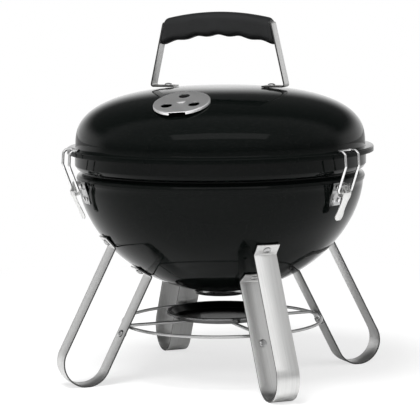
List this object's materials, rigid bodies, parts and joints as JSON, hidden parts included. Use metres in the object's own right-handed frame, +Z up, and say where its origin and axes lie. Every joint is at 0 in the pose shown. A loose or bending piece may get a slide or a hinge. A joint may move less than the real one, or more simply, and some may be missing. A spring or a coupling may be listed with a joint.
{
  "type": "portable charcoal kettle grill",
  "caption": "Round kettle grill on looped strap legs, with a domed lid, carry handle, wire latches, turning vents, grates and an ash pan on a wire ring.",
  "frame": {"origin": "on the kettle's axis at the height of the ground that the feet stand on", "axes": "+Z up along the kettle's axis, -Y towards the front leg, +X towards the right leg"},
  "size_m": [0.4346, 0.4346, 0.4644],
  "materials": {
    "enamel": "gloss black vitreous enamel",
    "strap": "brushed along the strap",
    "plated": "bright plated",
    "pan": "bright rolled sheet",
    "grip": "fine moulded grain",
    "grate": "plated wire",
    "coals": "plain steel wire"
  },
  "bodies": {
    "kettle": {"bowl": "enamel", "leg_front": "strap", "leg_right": "strap", "leg_rear": "strap", "leg_left": "strap", "leg_front_outer_bolt": "plated", "leg_front_inner_bolt": "plated", "leg_right_outer_bolt": "plated", "leg_right_inner_bolt": "plated", "leg_rear_outer_bolt": "plated", "leg_rear_inner_bolt": "plated", "leg_left_outer_bolt": "plated", "leg_left_inner_bolt": "plated", "ash_pan_carrier": "plated", "ring_bolt_front": "plated", "ring_bolt_right": "plated", "ring_bolt_rear": "plated", "ring_bolt_left": "plated", "latch_left_bracket": "strap", "latch_right_bracket": "strap", "latch_rear_bracket": "strap", "latch_left_rivet_a": "plated", "latch_left_rivet_b": "plated", "latch_right_rivet_a": "plated", "latch_right_rivet_b": "plated", "latch_rear_rivet_a": "plated", "latch_rear_rivet_b": "plated", "latch_left_pin": "plated", "latch_right_pin": "plated", "latch_rear_pin": "plated", "bowl_vent_rivet": "plated"},
    "lid": {"lid": "enamel", "handle_strap": "strap", "handle_grip": "grip", "handle_bolt_a": "plated", "handle_bolt_b": "plated", "lid_vent_rivet": "plated"},
    "lid_damper": {"lid_vent_damper": "plated"},
    "bowl_damper": {"bowl_vent_damper": "plated"},
    "cooking_grate": {"cooking_grate": "grate"},
    "charcoal_grate": {"charcoal_grate": "coals"},
    "ash_pan": {"ash_pan": "pan"},
    "lever_left": {"latch_left_lever": "strap"},
    "bail_left": {"latch_left_bail": "plated"},
    "lever_right": {"latch_right_lever": "strap"},
    "bail_right": {"latch_right_bail": "plated"},
    "lever_rear": {"latch_rear_lever": "strap"},
    "bail_rear": {"latch_rear_bail": "plated"}
  },
  "joints": [
    {"name": "lid_lift", "type": "slide", "parent": "kettle", "child": "lid", "axis": [0, 0, 1], "range_m": [0, 0.2]},
    {"name": "lid_damper_turn", "type": "hinge", "parent": "lid", "child": "lid_damper", "pos_m": [-0.0882, -0.10039, 0.35823], "axis": [-0.209, -0.2379, 0.9486], "range_deg": [0, 60]},
    {"name": "bowl_damper_turn", "type": "hinge", "parent": "kettle", "child": "bowl_damper", "pos_m": [0, 0, 0.107], "axis": [0, 0, 1], "range_deg": [0, 60]},
    {"name": "cooking_grate_lift", "type": "slide", "parent": "kettle", "child": "cooking_grate", "axis": [0, 0, 1], "range_m": [0, 0.014]},
    {"name": "charcoal_grate_lift", "type": "slide", "parent": "kettle", "child": "charcoal_grate", "axis": [0, 0, 1], "range_m": [0, 0.06]},
    {"name": "ash_pan_slide", "type": "slide", "parent": "kettle", "child": "ash_pan", "axis": [0.7071, -0.7071, 0], "range_m": [0, 0.2]},
    {"name": "lever_left_turn", "type": "hinge", "parent": "kettle", "child": "lever_left", "pos_m": [-0.1905, 0, 0.2535], "axis": [0, 1, 0], "range_deg": [0, 150]},
    {"name": "bail_left_turn", "type": "hinge", "parent": "lever_left", "child": "bail_left", "pos_m": [-0.193, 0, 0.2465], "axis": [0, 1, 0], "range_deg": [-195, 0]},
    {"name": "lever_right_turn", "type": "hinge", "parent": "kettle", "child": "lever_right", "pos_m": [0.09525, -0.16498, 0.2535], "axis": [-0.866, -0.5, 0], "range_deg": [0, 150]},
    {"name": "bail_right_turn", "type": "hinge", "parent": "lever_right", "child": "bail_right", "pos_m": [0.0965, -0.16714, 0.2465], "axis": [-0.866, -0.5, 0], "range_deg": [-195, 0]},
    {"name": "lever_rear_turn", "type": "hinge", "parent": "kettle", "child": "lever_rear", "pos_m": [0.09525, 0.16498, 0.2535], "axis": [0.866, -0.5, 0], "range_deg": [0, 150]},
    {"name": "bail_rear_turn", "type": "hinge", "parent": "lever_rear", "child": "bail_rear", "pos_m": [0.0965, 0.16714, 0.2465], "axis": [0.866, -0.5, 0], "range_deg": [-195, 0]}
  ],
  "couplings": [
    {"joint": "bail_left_turn", "follows": "lever_left_turn", "ratio": -1.3},
    {"joint": "bail_right_turn", "follows": "lever_right_turn", "ratio": -1.3},
    {"joint": "bail_rear_turn", "follows": "lever_rear_turn", "ratio": -1.3}
  ]
}
